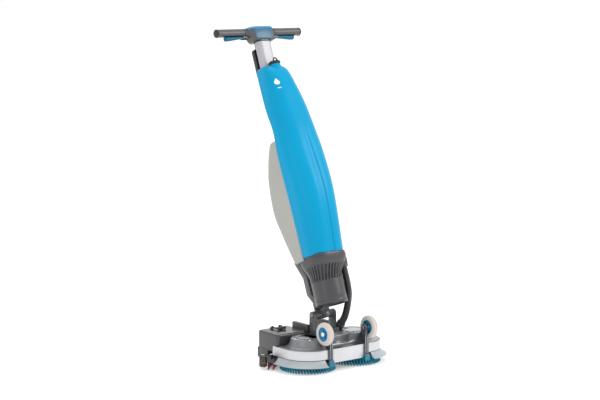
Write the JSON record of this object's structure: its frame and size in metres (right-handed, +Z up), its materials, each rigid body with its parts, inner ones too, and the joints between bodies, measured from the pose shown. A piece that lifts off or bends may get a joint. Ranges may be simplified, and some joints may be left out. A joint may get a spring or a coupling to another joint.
{
  "type": "wet dry floor scrubber",
  "caption": "Upright battery floor scrubber with counter-rotating disc brushes, curved squeegee, two tanks on a tilting column, transport wheels and a T handle with triggers.",
  "frame": {"origin": "floor point under the middle of the machine's box at rest", "axes": "+Z up, -Y to the machine's front, +X to the operator's left"},
  "size_m": [0.5172, 0.587, 1.195],
  "materials": {
    "deck_grey": "satin moulded plastic",
    "silver_band": "brushed",
    "skirt": "translucent polyurethane",
    "dark_plastic": "fine moulded grain",
    "motor_metal": "painted",
    "teal_plastic": "satin",
    "steel": "zinc plated",
    "joint_casting": "satin cast",
    "bristles": "nylon filament",
    "tyre": "non-marking rubber",
    "hose_rubber": "corrugated",
    "pump_plastic": "moulded",
    "circuit_board": "solder mask",
    "mast_aluminium": "anodised",
    "blue_gloss": "glossy",
    "beige_plastic": "satin",
    "display_glass": "glossy",
    "grip_rubber": "soft touch",
    "button": "satin",
    "blade_rubber": "smooth",
    "roller_brass": "worn satin"
  },
  "bodies": {
    "deck": {"deck_cover": "deck_grey", "bumper_bands": "silver_band", "front_plate": "silver_band", "splash_skirts": "skirt", "chassis_plate": "dark_plastic", "battery_tray": "dark_plastic", "side_cover": "dark_plastic", "power_module": "dark_plastic", "brush_motors": "motor_metal", "wheel_bracket": "dark_plastic", "wheel_clips": "teal_plastic", "wheel_bolts": "steel", "base_fork": "joint_casting", "tilt_pins": "steel", "suction_elbow": "dark_plastic", "hose_lower": "hose_rubber", "deck_screws": "steel"},
    "brush_left": {"brush_plate_left": "dark_plastic", "bristles_left": "bristles"},
    "brush_right": {"brush_plate_right": "dark_plastic", "bristles_right": "bristles"},
    "wheel_left": {"wheel_tyre_left": "tyre", "wheel_hub_left": "teal_plastic"},
    "wheel_right": {"wheel_tyre_right": "tyre", "wheel_hub_right": "teal_plastic"},
    "battery": {"battery": "dark_plastic"},
    "bail": {"battery_bail": "dark_plastic"},
    "squeegee": {"squeegee_holder": "dark_plastic", "squeegee_blades": "blade_rubber", "roller_bolts": "steel"},
    "roller_left": {"squeegee_roller_left": "roller_brass"},
    "roller_right": {"squeegee_roller_right": "roller_brass"},
    "pivot": {"pivot_block": "joint_casting"},
    "column": {"roll_pin": "steel", "column_yoke": "joint_casting", "motor_housing": "dark_plastic", "vacuum_motor": "motor_metal", "water_pump": "pump_plastic", "control_board": "circuit_board", "hose_cuff": "hose_rubber", "hose_upper": "hose_rubber", "spine": "mast_aluminium", "clamp_pin": "steel"},
    "clamp": {"clamp_lever": "dark_plastic"},
    "clean_tank": {"clean_tank": "blue_gloss"},
    "filler_cap": {"filler_cap": "dark_plastic"},
    "recovery_tank": {"recovery_tank": "beige_plastic", "float_filter": "pump_plastic"},
    "handle": {"mast_tube": "mast_aluminium", "mast_channel": "dark_plastic", "handle_core": "dark_plastic", "display_housing": "blue_gloss", "display_lens": "display_glass", "grips": "grip_rubber", "end_caps": "grip_rubber", "trigger_pins": "steel"},
    "trigger_left": {"trigger_left": "teal_plastic"},
    "trigger_right": {"trigger_right": "teal_plastic"},
    "power_button": {"power_button": "button"},
    "mode_button": {"mode_button": "button"}
  },
  "joints": [
    {"name": "mast_tilt", "type": "hinge", "parent": "deck", "child": "pivot", "pos_m": [0, -0.114, 0.174], "axis": [1, 0, 0], "range_deg": [-60, 21], "deforming": ["hose_lower"]},
    {"name": "mast_roll", "type": "hinge", "parent": "pivot", "child": "column", "pos_m": [0, -0.114, 0.174], "axis": [0, -0.9323, 0.3616], "range_deg": [-35, 35], "deforming": ["hose_upper"]},
    {"name": "brush_left_spin", "type": "hinge", "parent": "deck", "child": "brush_left", "pos_m": [0.104, -0.159, 0.03], "axis": [0, 0, 1], "continuous": true},
    {"name": "brush_right_spin", "type": "hinge", "parent": "deck", "child": "brush_right", "pos_m": [-0.104, -0.159, 0.03], "axis": [0, 0, 1], "continuous": true},
    {"name": "wheel_left_spin", "type": "hinge", "parent": "deck", "child": "wheel_left", "pos_m": [0.1005, -0.252, 0.138], "axis": [1, 0, 0], "continuous": true},
    {"name": "wheel_right_spin", "type": "hinge", "parent": "deck", "child": "wheel_right", "pos_m": [-0.1005, -0.252, 0.138], "axis": [1, 0, 0], "continuous": true},
    {"name": "battery_slide", "type": "slide", "parent": "deck", "child": "battery", "axis": [0, 1, 0], "range_m": [0, 0.12]},
    {"name": "bail_fold", "type": "hinge", "parent": "battery", "child": "bail", "pos_m": [-0.131, -0.009, 0.1275], "axis": [-1, 0, 0], "range_deg": [0, 100]},
    {"name": "squeegee_float", "type": "slide", "parent": "deck", "child": "squeegee", "axis": [0, 0, 1], "range_m": [0, 0.005]},
    {"name": "roller_left_spin", "type": "hinge", "parent": "squeegee", "child": "roller_left", "pos_m": [0.239, -0.076, 0.03], "axis": [0, 0, 1], "continuous": true},
    {"name": "roller_right_spin", "type": "hinge", "parent": "squeegee", "child": "roller_right", "pos_m": [-0.239, -0.076, 0.03], "axis": [0, 0, 1], "continuous": true},
    {"name": "handle_height", "type": "slide", "parent": "column", "child": "handle", "axis": [0, 0.3616, 0.9323], "range_m": [-0.02, 0.1]},
    {"name": "clamp_lever_swing", "type": "hinge", "parent": "column", "child": "clamp", "pos_m": [0, 0.22432, 0.99094], "axis": [-1, 0, 0], "range_deg": [0, 35]},
    {"name": "trigger_left_squeeze", "type": "hinge", "parent": "handle", "child": "trigger_left", "pos_m": [0.075, 0.26498, 1.15108], "axis": [0, -0.9323, 0.3616], "range_deg": [-4, 0], "stiffness_Nm_per_rad": 4, "springref_deg": 14.32},
    {"name": "trigger_right_squeeze", "type": "hinge", "parent": "handle", "child": "trigger_right", "pos_m": [-0.075, 0.26498, 1.15108], "axis": [0, -0.9323, 0.3616], "range_deg": [0, 4], "stiffness_Nm_per_rad": 4, "springref_deg": -14.32},
    {"name": "power_button_press", "type": "slide", "parent": "handle", "child": "power_button", "axis": [0, -0.3616, -0.9323], "range_m": [0, 0.0015], "stiffness_N_per_m": 300, "springref_m": -0.002},
    {"name": "mode_button_press", "type": "slide", "parent": "handle", "child": "mode_button", "axis": [0, -0.3616, -0.9323], "range_m": [0, 0.0015], "stiffness_N_per_m": 300, "springref_m": -0.002},
    {"name": "clean_tank_off", "type": "slide", "parent": "column", "child": "clean_tank", "axis": [0, -0.9323, 0.3616], "range_m": [0, 0.1]},
    {"name": "filler_cap_lift", "type": "slide", "parent": "clean_tank", "child": "filler_cap", "axis": [0, 0.3616, 0.9323], "range_m": [0, 0.04]},
    {"name": "recovery_tank_off", "type": "slide", "parent": "column", "child": "recovery_tank", "axis": [0, 0.9323, -0.3616], "range_m": [0, 0.12]}
  ],
  "couplings": [
    {"joint": "brush_right_spin", "follows": "brush_left_spin", "ratio": -1}
  ]
}
